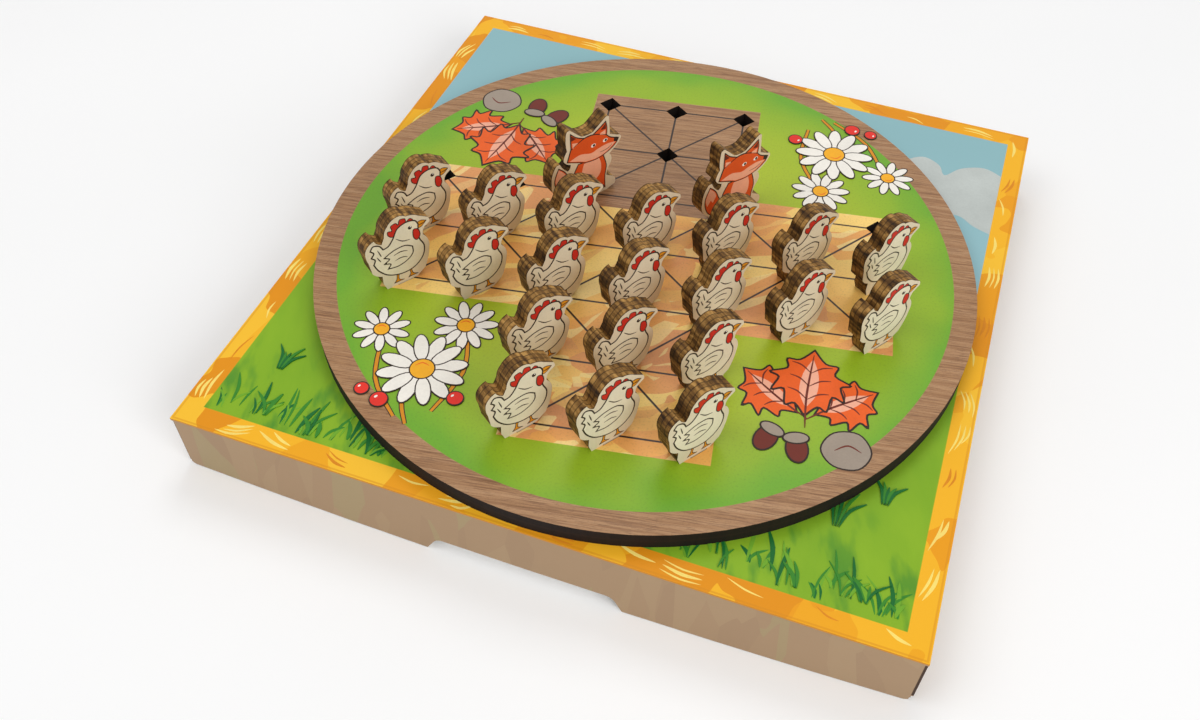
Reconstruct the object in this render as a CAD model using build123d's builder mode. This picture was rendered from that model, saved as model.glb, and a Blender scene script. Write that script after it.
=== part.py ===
# A fox and geese board game: a round wooden board with square holes, twenty hens and two
# foxes that stand in the holes on square pegs, and a flat carton box that they lie on.
# Millimetres. The origin is the middle of the box's underside, +Z is up, -Y is the front.

import os
from math import cos, radians, sin

from build123d import *

# Board
board_diameter = 300.0
board_thickness = 8.5
board_turn = 10.1
board_shift_x = -2.2
board_shift_y = -4.0
hole_pitch = 35.0

# Game pieces, cut from one sheet of plywood
ply_thickness = 7.4
hen_height = 38.0
fox_height = 44.6
peg_length = 7.5
peg_clearance = 0.3

# Carton box
carton = 1.5
corner_tab = 1.2
board_room = 1.2
lid_clearance = 0.6
tray_height = 30.0
lid_edge_gap = 0.5
wall_bow = 3.0
corner_slit = 1.1
panel_corner = 2.6
recess_width = 84.0
recess_depth = 7.5
recess_slope = 4.5
recess_round = 5.0
tab_reach = 26.0

# Worked out from the sizes above
hole_side = ply_thickness + 2 * peg_clearance
tray_inside = board_diameter + 2 * board_room
tray_side = tray_inside + 2 * carton
lid_wall = carton + corner_tab
lid_inside = tray_side + 2 * lid_clearance
lid_side = lid_inside + 2 * lid_wall
lid_top = tray_height + carton
board_top = lid_top + board_thickness

# The playing cross: seven columns and seven rows, without the four corner squares
middle = 4
cross = [
    (column, row)
    for row in range(1, 8)
    for column in range(1, 8)
    if abs(column - middle) <= 1 or abs(row - middle) <= 1
]
fox_places = [(3, 3), (5, 3)]
hen_places = [(column, row) for column, row in cross if row >= middle]

# Piece outlines as (x, y, swell) from the foot's right end, seen from the front: the
# stretch from each point to the next swells outwards by the third value. All three are
# hundredths of the piece's height.
hen_outline = [
    (14.7, 0, 0),
    (26.3, 8.9, 1.3),
    (34.7, 36.8, 2.9),
    (29.5, 58.9, -1.2),
    (32.6, 69.5, 0),
    (40.0, 74.7, 0.6),
    (38.4, 81.6, 0),
    (26.8, 89.5, 1.5),
    (12.1, 95.8, 1.4),
    (1.1, 100, 1.5),
    (-11.1, 92.6, 1.4),
    (-17.4, 78.4, 0),
    (-21.6, 70.0, -1.3),
    (-30.0, 79.5, 2.2),
    (-42.1, 68.4, 1.1),
    (-41.1, 51.6, 0),
    (-38.9, 33.2, 1.3),
    (-27.9, 22.6, 0),
    (-28.4, 11.1, 0),
    (-24.7, 0, 0),
]
fox_outline = [
    (22.0, 0, 0),
    (32.3, 4.0, 2.2),
    (29.6, 15.2, 0),
    (21.5, 20.6, -1.1),
    (26.5, 34.5, 2.2),
    (25.1, 48.4, 0),
    (34.1, 55.6, 0.7),
    (39.9, 64.1, 1.3),
    (35.4, 68.6, 0),
    (25.6, 74.0, 0),
    (24.2, 96.9, 1.1),
    (19.7, 98.2, 0),
    (4.5, 86.1, -1.1),
    (-10.3, 86.5, 0),
    (-23.8, 100, 1.1),
    (-28.3, 97.8, 1.1),
    (-27.8, 74.9, 0.9),
    (-32.3, 63.7, 1.1),
    (-23.8, 55.6, -1.3),
    (-27.4, 48.4, -1.1),
    (-36.8, 61.9, 0),
    (-40.8, 61.9, 2.2),
    (-47.5, 40.4, 3.6),
    (-38.1, 17.9, 1.8),
    (-23.3, 6.7, 0),
    (-21.5, 0, 0),
]


def with_peg(outline, height):
    """An outline in millimetres, closed at its foot by the square peg."""
    half_peg = ply_thickness / 2
    peg = [(-half_peg, 0, 0), (-half_peg, -peg_length, 0), (half_peg, -peg_length, 0), (half_peg, 0, 0)]
    return peg + [tuple(share * height / 100 for share in point) for point in outline]


def closed_outline(points):
    """Lines and arcs through (x, y, swell) points, listed the way the clock goes back."""
    for (x0, y0, swell), (x1, y1, _) in zip(points, points[1:] + points[:1]):
        if swell == 0:
            Line((x0, y0), (x1, y1))
        else:
            chord = Vector(x1 - x0, y1 - y0)
            outwards = Vector(chord.Y, -chord.X).normalized()
            crown = Vector(x0, y0) + chord * 0.5 + outwards * swell
            ThreePointArc((x0, y0), crown, (x1, y1))


def place(column, row, height):
    """The point over a hole's centre."""
    along = (column - middle) * hole_pitch
    across = (middle - row) * hole_pitch
    turn = radians(board_turn)
    x = board_shift_x + along * cos(turn) - across * sin(turn)
    y = board_shift_y + along * sin(turn) + across * cos(turn)
    return Vector(x, y, height)


def piece_plane(column, row):
    """The back face of a piece: its holes are turned half a right angle from the rows."""
    facing = radians(board_turn - 45)
    outwards = Vector(cos(facing), sin(facing), 0)
    origin = place(column, row, board_top) - outwards * (ply_thickness / 2)
    return Plane(origin=origin, x_dir=(-outwards.Y, outwards.X, 0), z_dir=outwards)


def bowed_square(side, bow):
    """A square whose sides swell out by the bow at their middles."""
    half = side / 2
    corners = [(half, half), (-half, half), (-half, -half), (half, -half)]
    crowns = [(0, half + bow), (-half - bow, 0), (0, -half - bow), (half + bow, 0)]
    for start, crown, end in zip(corners, crowns, corners[1:] + corners[:1]):
        ThreePointArc(start, crown, end)


def square(side):
    """The same square with straight sides, corner for corner."""
    half = side / 2
    Polyline((half, half), (-half, half), (-half, -half), (half, -half), close=True)


os.makedirs("parts", exist_ok=True)

# Tray: the lower half of the box, folded from plain carton, with a tab glued behind each
# end of two of its walls
with BuildPart() as tray:
    with BuildSketch():
        Rectangle(tray_side, tray_side)
    extrude(amount=tray_height)
    with BuildSketch(Plane.XY.offset(carton)):
        Rectangle(tray_inside, tray_inside)
    extrude(amount=tray_height, mode=Mode.SUBTRACT)
    tab_height = tray_height - carton - panel_corner
    tab_centre = (tray_inside - tab_reach) / 2
    with BuildSketch(Plane.XY.offset(carton)):
        for side in (-1, 1):
            with GridLocations(2 * tab_centre, 0, 2, 1):
                with Locations((0, side * (tray_inside - corner_tab) / 2)):
                    Rectangle(tab_reach, corner_tab)
    extrude(amount=tab_height)
tray.part.label = "box_tray"
export_step(tray.part, "parts/box_tray.step")

# Lid: slips over the tray and rests on its rim. Its wall panels bow out a little between
# the corners, where a slit shows the tab behind each panel's end.
with BuildPart() as lid:
    with BuildSketch(Plane.XY.offset(lid_edge_gap)):
        with BuildLine():
            bowed_square(lid_side, wall_bow)
        make_face()
    with BuildSketch(Plane.XY.offset(lid_top)):
        with BuildLine():
            square(lid_side)
        make_face()
    loft(ruled=True)
    with BuildSketch(Plane.XY.offset(lid_edge_gap)):
        with BuildLine():
            bowed_square(lid_inside, wall_bow)
        make_face()
    with BuildSketch(Plane.XY.offset(tray_height)):
        with BuildLine():
            square(lid_inside)
        make_face()
    loft(ruled=True, mode=Mode.SUBTRACT)
    # Slits at the four corners, below the folded edge of the top
    with BuildSketch(Plane.XY.offset(lid_edge_gap)):
        with GridLocations(lid_side, lid_side, 2, 2):
            Rectangle(2 * corner_slit, 2 * corner_slit)
    extrude(amount=lid_top - lid_edge_gap - carton, mode=Mode.SUBTRACT)
    # Each panel's lower corners are rounded in front of the tabs
    arc_start = lid_side / 2 - corner_slit - panel_corner
    for turn in range(0, 360, 90):
        outwards = Vector(0, -1, 0).rotate(Axis.Z, turn)
        foot_middle = outwards * (lid_side / 2 - carton) + Vector(0, 0, lid_edge_gap)
        with BuildSketch(Plane(origin=foot_middle, x_dir=outwards.cross(Vector(0, 0, -1)), z_dir=outwards)):
            with GridLocations(lid_side, 0, 2, 1):
                Rectangle(2 * (corner_slit + panel_corner), 2 * panel_corner)
            with Locations((-arc_start, panel_corner), (arc_start, panel_corner)):
                Circle(panel_corner, mode=Mode.SUBTRACT)
        extrude(amount=carton + wall_bow, mode=Mode.SUBTRACT)
    # Thumb recesses in the lower edges of the front and back panels
    with BuildSketch(Plane.XZ) as recess:
        with BuildLine():
            foot = recess_width / 2
            head = foot - recess_slope
            crest = lid_edge_gap + recess_depth
            Polyline((-foot, lid_edge_gap), (-head, crest), (head, crest), (foot, lid_edge_gap),
                     (foot, 0), (-foot, 0), close=True)
        make_face()
        fillet(recess.vertices().group_by(Axis.Y)[-1], recess_round)
    extrude(amount=lid_side, both=True, mode=Mode.SUBTRACT)
lid.part.label = "box_lid"
export_step(lid.part, "parts/box_lid.step")

# Board: a disc with a square hole at each place of the cross
with BuildPart() as board:
    with BuildSketch(Plane.XY.offset(lid_top)):
        with Locations((board_shift_x, board_shift_y)):
            Circle(board_diameter / 2)
        holes = [place(column, row, 0) for column, row in cross]
        with Locations(*[(spot.X, spot.Y) for spot in holes]):
            Rectangle(hole_side, hole_side, rotation=board_turn + 45, mode=Mode.SUBTRACT)
    extrude(amount=board_thickness)
board.part.label = "board"
export_step(board.part, "parts/board.step")

# Hens and foxes: flat outlines cut from plywood, each with its peg in a hole
hen_points = with_peg(hen_outline, hen_height)
fox_points = with_peg(fox_outline, fox_height)
named_places = [(f"hen_{number:02d}", hen_points, spot) for number, spot in enumerate(hen_places, 1)]
named_places += [(name, fox_points, spot) for name, spot in zip(("fox_left", "fox_right"), fox_places)]
for name, points, (column, row) in named_places:
    with BuildPart() as piece:
        with BuildSketch(piece_plane(column, row)):
            with BuildLine():
                closed_outline(points)
            make_face()
        extrude(amount=ply_thickness)
    piece.part.label = name
    export_step(piece.part, f"parts/{name}.step")
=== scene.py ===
"""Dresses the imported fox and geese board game: prints, burnt edges, carton, light and camera.

Lengths are written in millimetres and turned into metres where an object is made. The
board has its own grid: u runs along its rows, v runs from the hens' end to the den.
"""

from __future__ import annotations

import logging
import math
import random
from dataclasses import dataclass, field
from enum import Enum
from typing import Sequence

import bmesh
import bpy
from bpy.types import Material, Node, NodeSocket, NodeTree, Object
from mathutils import Matrix, Vector

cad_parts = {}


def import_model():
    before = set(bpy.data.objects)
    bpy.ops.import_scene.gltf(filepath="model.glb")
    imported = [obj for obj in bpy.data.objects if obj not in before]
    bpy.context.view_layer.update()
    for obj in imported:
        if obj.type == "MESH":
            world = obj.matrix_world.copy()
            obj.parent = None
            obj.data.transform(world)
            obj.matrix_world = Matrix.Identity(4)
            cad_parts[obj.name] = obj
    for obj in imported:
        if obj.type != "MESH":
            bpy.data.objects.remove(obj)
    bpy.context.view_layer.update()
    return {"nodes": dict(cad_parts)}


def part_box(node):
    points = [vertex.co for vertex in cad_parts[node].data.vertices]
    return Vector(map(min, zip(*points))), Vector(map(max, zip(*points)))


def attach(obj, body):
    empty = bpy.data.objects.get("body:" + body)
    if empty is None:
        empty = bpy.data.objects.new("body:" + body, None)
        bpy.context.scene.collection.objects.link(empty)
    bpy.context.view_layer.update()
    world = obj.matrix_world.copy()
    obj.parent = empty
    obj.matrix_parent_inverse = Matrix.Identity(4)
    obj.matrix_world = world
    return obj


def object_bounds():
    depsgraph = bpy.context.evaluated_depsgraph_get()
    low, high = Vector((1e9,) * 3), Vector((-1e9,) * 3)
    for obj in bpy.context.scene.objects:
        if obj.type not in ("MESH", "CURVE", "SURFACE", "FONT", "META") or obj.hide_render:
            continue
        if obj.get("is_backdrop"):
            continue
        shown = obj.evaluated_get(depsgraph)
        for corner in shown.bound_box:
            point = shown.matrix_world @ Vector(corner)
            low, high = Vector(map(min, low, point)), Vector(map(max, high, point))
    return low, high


log = logging.getLogger("fox_and_geese")
MM = 0.001
Point = tuple[float, float]
Colour = tuple[float, float, float]


def paint(red: int, green: int, blue: int) -> Colour:
    """A colour read as 0 to 255 steps, as the linear values that shaders take.

    Args:
        red: Step of red.
        green: Step of green.
        blue: Step of blue.

    Returns:
        The colour in linear light.
    """
    def linear(step: int) -> float:
        """One channel in linear light."""
        share = step / 255
        return share / 12.92 if share <= 0.04045 else ((share + 0.055) / 1.055) ** 2.4

    return linear(red), linear(green), linear(blue)


def top_middle(node: str) -> Vector:
    """The middle of a node's upper side, in metres."""
    low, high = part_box(node)
    return Vector(((low.x + high.x) / 2, (low.y + high.y) / 2, high.z))


def into_scene(name: str, data: bpy.types.ID) -> Object:
    """Makes an object of a mesh, a lamp or a camera.

    Args:
        name: Its name.
        data: What it holds.

    Returns:
        The object, linked to the scene.
    """
    made = bpy.data.objects.new(name, data)
    bpy.context.scene.collection.objects.link(made)
    return made


class Wire:
    """A socket whose arithmetic adds Math nodes to the tree that it belongs to."""

    def __init__(self, desk: "NodeDesk", socket: NodeSocket) -> None:
        """Keeps the socket and the desk that adds its nodes."""
        self.desk = desk
        self.socket = socket

    def __add__(self, other: "Wire | float") -> "Wire":
        """The sum of two values."""
        return self.desk.maths("ADD", self, other)

    def __radd__(self, other: float) -> "Wire":
        """The sum, with the number first."""
        return self.desk.maths("ADD", other, self)

    def __sub__(self, other: "Wire | float") -> "Wire":
        """The difference of two values."""
        return self.desk.maths("SUBTRACT", self, other)

    def __rsub__(self, other: float) -> "Wire":
        """The difference, with the number first."""
        return self.desk.maths("SUBTRACT", other, self)

    def __mul__(self, other: "Wire | float") -> "Wire":
        """The product of two values."""
        return self.desk.maths("MULTIPLY", self, other)

    def __rmul__(self, other: float) -> "Wire":
        """The product, with the number first."""
        return self.desk.maths("MULTIPLY", other, self)

    def size(self) -> "Wire":
        """The value without its sign."""
        return self.desk.maths("ABSOLUTE", self)

    def over(self, edge: "Wire | float", soft: float) -> "Wire":
        """0 below an edge and 1 above it, with a soft step.

        Args:
            edge: Where the step is.
            soft: How wide the step is.

        Returns:
            The step as a value from 0 to 1.
        """
        step = (self - edge) * (1 / soft) + 0.5
        return self.desk.maths("MINIMUM", self.desk.maths("MAXIMUM", step, 0.0), 1.0)

    def under(self, edge: "Wire | float", soft: float) -> "Wire":
        """1 below an edge and 0 above it, with a soft step."""
        return 1 - self.over(edge, soft)

    def either(self, other: "Wire") -> "Wire":
        """The larger of two values, which joins two masks."""
        return self.desk.maths("MAXIMUM", self, other)


class NodeDesk:
    """Adds nodes to one shader tree."""

    def __init__(self, tree: NodeTree) -> None:
        """Empties the tree.

        Args:
            tree: The tree of a material or a world.
        """
        self.tree = tree
        self.tree.nodes.clear()

    def node(self, kind: str, settings: dict | None = None, sockets: dict | None = None) -> Node:
        """Adds a node, sets it and feeds its sockets.

        Args:
            kind: The node's type, without its ShaderNode start.
            settings: The node's own settings, which are set first.
            sockets: Values or wires by the name or number of their socket.

        Returns:
            The node.
        """
        made = self.tree.nodes.new("ShaderNode" + kind)
        for key, value in (settings or {}).items():
            setattr(made, key, value)
        for key, value in (sockets or {}).items():
            if isinstance(value, Wire):
                self.tree.links.new(value.socket, made.inputs[key])
            else:
                made.inputs[key].default_value = value
        return made

    def wire(self, node: Node, output: str | int = 0) -> Wire:
        """One of a node's outputs as a wire."""
        return Wire(self, node.outputs[output])

    def maths(self, operation: str, *values: Wire | float) -> Wire:
        """A Math node on wires and numbers."""
        return self.wire(self.node("Math", {"operation": operation}, dict(enumerate(values))))


class NodeShop(NodeDesk):
    """Builds one material's nodes."""

    def __init__(self, name: str) -> None:
        """Starts an empty material.

        Args:
            name: The material's name.
        """
        self.material = bpy.data.materials.new(name)
        self.material.use_nodes = True
        super().__init__(self.material.node_tree)

    def place(self, centre: Vector = Vector(), turn: float = 0.0, kind: str = "Object") -> Wire:
        """Coordinates about a centre, turned about the upright axis.

        Args:
            centre: The new origin, in metres.
            turn: The new axes' turn, in radians.
            kind: Object for places, or Normal for the direction that the surface faces.

        Returns:
            The coordinates in the new axes.
        """
        raw = self.wire(self.node("TexCoord"), kind)
        return self.wire(self.node("Mapping", {"vector_type": "TEXTURE"}, {
            "Vector": raw, "Location": tuple(centre), "Rotation": (0.0, 0.0, turn)}))

    def split(self, vector: Wire) -> tuple[Wire, Wire, Wire]:
        """The three parts of a vector."""
        parts = self.node("SeparateXYZ", None, {0: vector})
        return self.wire(parts, 0), self.wire(parts, 1), self.wire(parts, 2)

    def join(self, x: Wire | float, y: Wire | float, z: Wire | float) -> Wire:
        """A vector from its three parts."""
        return self.wire(self.node("CombineXYZ", None, {0: x, 1: y, 2: z}))

    def normal(self) -> Wire:
        """The direction that the surface faces, in the object's own axes."""
        return self.wire(self.node("TexCoord"), "Normal")

    def noise(self, vector: Wire, scale: float, detail: float = 3.0, roughness: float = 0.5) -> Wire:
        """Soft noise from about 0 to 1."""
        return self.wire(self.node("TexNoise", None, {
            "Vector": vector, "Scale": scale, "Detail": detail, "Roughness": roughness}), 0)

    def grain(self, x: Wire, y: Wire, z: Wire | float, detail: float = 1.0, roughness: float = 0.5) -> Wire:
        """Soft noise on three parts, each stretched as the pattern needs it."""
        return self.noise(self.join(x, y, z), 1.0, detail, roughness)

    def patches(self, x: Wire, y: Wire, z: Wire | float) -> Wire:
        """A random value from 0 to 1 for each of many cells; stretched parts give long cells."""
        cells = self.node("TexVoronoi", None, {"Vector": self.join(x, y, z), "Scale": 1.0})
        return self.split(self.wire(cells, "Color"))[0]

    def ramp(self, value: Wire, stops: Sequence[tuple[float, Colour]], hard: bool = False) -> Wire:
        """Colours along a value.

        Args:
            value: The value, from 0 to 1.
            stops: Places and colours, in order.
            hard: Whether the colours change in steps.

        Returns:
            The colour.
        """
        made = self.node("ValToRGB", None, {0: value})
        band = made.color_ramp
        band.interpolation = "CONSTANT" if hard else "LINEAR"
        while len(band.elements) < len(stops):
            band.elements.new(1.0)
        for element, (spot, colour) in zip(band.elements, stops):
            element.position = spot
            element.color = (*colour, 1.0)
        return self.wire(made, 0)

    def mix(self, share: Wire | float, first: Wire | Colour, second: Wire | Colour) -> Wire:
        """One colour over another.

        Args:
            share: How much of the second colour shows.
            first: The colour below.
            second: The colour on top.

        Returns:
            The mixed colour.
        """
        pair = [value if isinstance(value, Wire) else (*value, 1.0) for value in (first, second)]
        return self.wire(self.node("Mix", {"data_type": "RGBA"}, {0: share, 6: pair[0], 7: pair[1]}), 2)

    def surface(self, colour: Wire, roughness: Wire | float, height: Wire | None = None,
                depth: float = 0.1, shine: float = 0.16) -> Material:
        """Ends the material in a Principled shader.

        Args:
            colour: Base colour.
            roughness: Roughness.
            height: Height of the fine relief, from 0 to 1.
            depth: How deep that relief is, in millimetres.
            shine: How strongly the surface mirrors.

        Returns:
            The finished material.
        """
        sockets: dict = {"Base Color": colour, "Roughness": roughness, "Specular IOR Level": shine}
        if height is not None:
            sockets["Normal"] = self.wire(self.node("Bump", None, {
                "Strength": 1.0, "Distance": depth * MM, "Height": height}))
        shader = self.node("BsdfPrincipled", None, sockets)
        self.node("OutputMaterial", None, {0: self.wire(shader)})
        return self.material


class Ink(Enum):
    """The printed colours, each as red, green and blue steps."""

    OUTLINE = (52, 40, 34)
    HEN_WHITE = (226, 216, 190)
    COMB_RED = (196, 44, 34)
    BEAK_OCHRE = (214, 140, 34)
    FOX_ORANGE = (216, 84, 34)
    FOX_CREAM = (238, 172, 142)
    FOX_BROWN = (98, 42, 30)
    PETAL_WHITE = (243, 238, 228)
    POLLEN_YELLOW = (246, 176, 42)
    BERRY_RED = (226, 54, 44)
    LEAF_ORANGE = (236, 100, 40)
    LEAF_CREAM = (245, 178, 150)
    ACORN_BROWN = (112, 48, 38)
    PEBBLE_GREY = (160, 146, 132)
    GRASS_DARK = (26, 104, 44)
    GRASS_MID = (58, 132, 42)
    GRASS_LIGHT = (112, 168, 44)
    STRAW_PALE = (254, 222, 116)
    STRAW_DEEP = (222, 138, 30)
    CLOUD = (190, 196, 192)


@dataclass(frozen=True)
class InkFinish:
    """A printed ink: its colour, the paper's tooth and a satin surface."""

    ink: Ink
    roughness: float = 0.42
    mottle: float = 0.10
    speck_scale: float = 900.0

    def build(self) -> Material:
        """Makes the ink's material.

        Returns:
            The finished material.
        """
        shop = NodeShop("ink_" + self.ink.name.lower())
        spot = shop.place()
        colour = paint(*self.ink.value)
        speck = shop.noise(spot, self.speck_scale, 4.0, 0.6)
        cloud = shop.noise(spot, 60.0, 2.0)
        shade = shop.ramp(cloud * 0.6 + speck * 0.4, [
            (0.30, tuple(c * (1 - self.mottle) for c in colour)),
            (0.70, tuple(min(1.0, c * (1 + self.mottle)) for c in colour))])
        return shop.surface(shade, self.roughness + speck * 0.1, speck, 0.01)


class InkRack:
    """Makes each ink's material once and hands it out."""

    def __init__(self) -> None:
        """Starts with no inks made."""
        self.made: dict[Ink, Material] = {}

    def get(self, ink: Ink) -> Material:
        """The material of an ink.

        Args:
            ink: The ink.

        Returns:
            Its material, made the first time that it is asked for.
        """
        if ink not in self.made:
            self.made[ink] = InkFinish(ink).build()
        return self.made[ink]


def smooth_run(points: Sequence[Point], steps: int) -> list[Point]:
    """A smooth line through points.

    Args:
        points: The points, in order.
        steps: How many steps each stretch takes.

    Returns:
        Points along the line, both ends included.
    """
    if len(points) == 2:
        return list(points)
    padded = [points[0], *points, points[-1]]
    line = []
    for a, b, c, d in zip(padded, padded[1:], padded[2:], padded[3:]):
        for step in range(steps):
            t = step / steps
            line.append(tuple(0.5 * (2 * q + (r - p) * t + (2 * p - 5 * q + 4 * r - s) * t * t
                                     + (3 * q - p - 3 * r + s) * t ** 3)
                              for p, q, r, s in zip(a, b, c, d)))
    return line + [points[-1]]


def closed_shape(*runs: Sequence[Point], steps: int = 5) -> list[Point]:
    """An outline from smooth runs that meet at sharp corners.

    Args:
        runs: Points of each run, which ends where the next one starts.
        steps: How many steps each stretch takes.

    Returns:
        The outline's points, the first one not repeated at the end.
    """
    outline: list[Point] = []
    for run, following in zip(runs, [*runs[1:], runs[0]]):
        outline += smooth_run([*run, following[0]], steps)[:-1]
    return outline


def loop_shape(points: Sequence[Point], steps: int = 5) -> list[Point]:
    """A smooth closed outline with no corners."""
    around = [points[-1], *points, points[0], points[1]]
    return smooth_run(around, steps)[steps:-steps - 1]


def oval(x: float, y: float, width: float, height: float, turn: float = 0.0, count: int = 20) -> list[Point]:
    """An ellipse.

    Args:
        x: Centre across.
        y: Centre up.
        width: Full width before it is turned.
        height: Full height before it is turned.
        turn: Turn in degrees.
        count: Number of points.

    Returns:
        The outline's points.
    """
    c, s = math.cos(math.radians(turn)), math.sin(math.radians(turn))
    ring = [(math.cos(k * math.tau / count) * width / 2, math.sin(k * math.tau / count) * height / 2)
            for k in range(count)]
    return [(x + c * a - s * b, y + s * a + c * b) for a, b in ring]


def grown(outline: Sequence[Point], reach: float) -> list[Point]:
    """An outline moved outwards, or inwards when the reach is negative.

    Args:
        outline: The points, either way round.
        reach: How far each point moves, in millimetres.

    Returns:
        The moved points.
    """
    area = sum(a[0] * b[1] - b[0] * a[1] for a, b in zip(outline, [*outline[1:], outline[0]]))
    sign = 1.0 if area > 0 else -1.0
    moved = []
    for before, here, after in zip([outline[-1], *outline[:-1]], outline, [*outline[1:], outline[0]]):
        first = Vector((here[0] - before[0], here[1] - before[1])).normalized()
        second = Vector((after[0] - here[0], after[1] - here[1])).normalized()
        across = Vector((first.y + second.y, -first.x - second.x)) * sign
        length = max(across.length, 1e-6)
        stretch = min(2 / length, 1.6)
        moved.append((here[0] + across.x / length * reach * stretch,
                      here[1] + across.y / length * reach * stretch))
    return [spot for spot in moved if gap_to(outline, *spot) > abs(reach) * 0.95]


def gap_to(outline: Sequence[Point], x: float, y: float) -> float:
    """The shortest way from a point to an outline.

    Args:
        outline: The outline's points.
        x: The point's place across.
        y: The point's place up.

    Returns:
        The distance, in the outline's own unit.
    """
    shortest = math.inf
    for (ax, ay), (bx, by) in zip(outline, [*outline[1:], outline[0]]):
        dx, dy = bx - ax, by - ay
        share = ((x - ax) * dx + (y - ay) * dy) / max(dx * dx + dy * dy, 1e-12)
        share = min(max(share, 0.0), 1.0)
        shortest = min(shortest, math.hypot(ax + share * dx - x, ay + share * dy - y))
    return shortest


@dataclass
class PrintSheet:
    """Inked shapes on one flat face, each a slab thinner than a sheet of paper."""

    name: str
    rack: InkRack
    sunk: float = 0.02
    step: float = 0.02
    mesh: bmesh.types.BMesh = field(default_factory=bmesh.new)
    inks: list[Ink] = field(default_factory=list)

    def area(self, outline: Sequence[Point], ink: Ink, layer: int = 1) -> None:
        """Prints one filled shape.

        Args:
            outline: The shape's points, in millimetres on the face.
            ink: Its colour.
            layer: How many steps it stands above the face.
        """
        if ink not in self.inks:
            self.inks.append(ink)
        corners = [self.mesh.verts.new((x, y, -self.sunk)) for x, y in outline]
        face = self.mesh.faces.new(corners)
        face.material_index = self.inks.index(ink)
        pushed = bmesh.ops.extrude_face_region(self.mesh, geom=[face])
        raised = [item for item in pushed["geom"] if isinstance(item, bmesh.types.BMVert)]
        bmesh.ops.translate(self.mesh, verts=raised, vec=(0.0, 0.0, self.sunk + self.step * layer))

    def drawn(self, outline: Sequence[Point], ink: Ink, line: float = 0.5, layer: int = 1) -> None:
        """Prints a filled shape with a dark line round it.

        Args:
            outline: The middle of the dark line.
            ink: The colour inside.
            line: The line's width.
            layer: How many steps the dark line stands above the face.
        """
        self.area(grown(outline, line / 2), Ink.OUTLINE, layer)
        self.area(grown(outline, -line / 2), ink, layer + 1)

    def stroke(self, points: Sequence[Point], width: float, ink: Ink, layer: int = 1,
               ends: float = 0.3, steps: int = 5) -> None:
        """Prints a smooth stroke that narrows towards its ends.

        Args:
            points: The stroke's points.
            width: Its width in the middle.
            ink: Its colour.
            layer: How many steps it stands above the face.
            ends: The ends' width as a share of the middle's.
            steps: How many steps each stretch takes.
        """
        line = smooth_run(points, steps)
        left, right = [], []
        for number, here in enumerate(line):
            before, after = line[max(number - 1, 0)], line[min(number + 1, len(line) - 1)]
            along = Vector((after[0] - before[0], after[1] - before[1])).normalized()
            share = math.sin(math.pi * number / (len(line) - 1))
            half = width / 2 * (ends + (1 - ends) * share)
            left.append((here[0] - along.y * half, here[1] + along.x * half))
            right.append((here[0] + along.y * half, here[1] - along.x * half))
        self.area(left + right[::-1], ink, layer)

    def finish(self, place: Matrix, body: str, slot: str) -> Object:
        """Turns the sheet into a piece of the scene.

        Args:
            place: From the face's own axes, in millimetres, to the frame, in metres.
            body: The body that it rides on.
            slot: A material slot's name; not used.

        Returns:
            The piece.
        """
        bmesh.ops.recalc_face_normals(self.mesh, faces=self.mesh.faces)
        data = bpy.data.meshes.new(self.name)
        self.mesh.to_mesh(data)
        data.transform(place)
        for ink in self.inks:
            data.materials.append(self.rack.get(ink))
        piece = into_scene(self.name, data)
        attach(piece, body)
        log.info("%s: %d faces", self.name, len(data.polygons))
        return piece


@dataclass(frozen=True)
class Grid:
    """The board's holes and how the board lies on the box."""

    pitch: float = 35.0
    turn: float = math.radians(10.1)
    middle: int = 4
    play_margin: float = 8.0
    rim: float = 10.2

    def centre(self) -> Vector:
        """The middle of the board's upper face, in metres."""
        return top_middle("board")

    def radius(self) -> float:
        """The board's radius, in millimetres."""
        low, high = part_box("board")
        return (high.x - low.x) / 2 / MM

    def face(self) -> Matrix:
        """From the board's own axes, in millimetres, to the frame, in metres."""
        return Matrix.Translation(self.centre()) @ Matrix.Rotation(self.turn, 4, "Z") @ Matrix.Scale(MM, 4)

    def stand(self, column: int, row: int, thickness: float) -> Matrix:
        """The front face of the piece in a hole.

        Args:
            column: The hole's column, from 1.
            row: The hole's row, from 1 at the den's end.
            thickness: The piece's thickness in millimetres.

        Returns:
            From the face's own axes, in millimetres, to the frame, in metres.
        """
        spot = Matrix.Translation(((column - self.middle) * self.pitch, (self.middle - row) * self.pitch, 0))
        facing = Matrix.Rotation(math.radians(45), 4, "Z") @ Matrix.Rotation(math.radians(90), 4, "X")
        return self.face() @ spot @ facing @ Matrix.Translation((0, 0, thickness / 2))

    def hens(self) -> list[tuple[str, int, int]]:
        """The hens' names, columns and rows."""
        holes = [(column, row) for row in range(4, 8) for column in range(1, 8)
                 if abs(column - self.middle) <= 1 or abs(row - self.middle) <= 1]
        return [(f"hen_{number:02d}", *hole) for number, hole in enumerate(holes, 1)]

    def foxes(self) -> list[tuple[str, int, int]]:
        """The foxes' names, columns and rows."""
        return [("fox_left", 3, 3), ("fox_right", 5, 3)]


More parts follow.
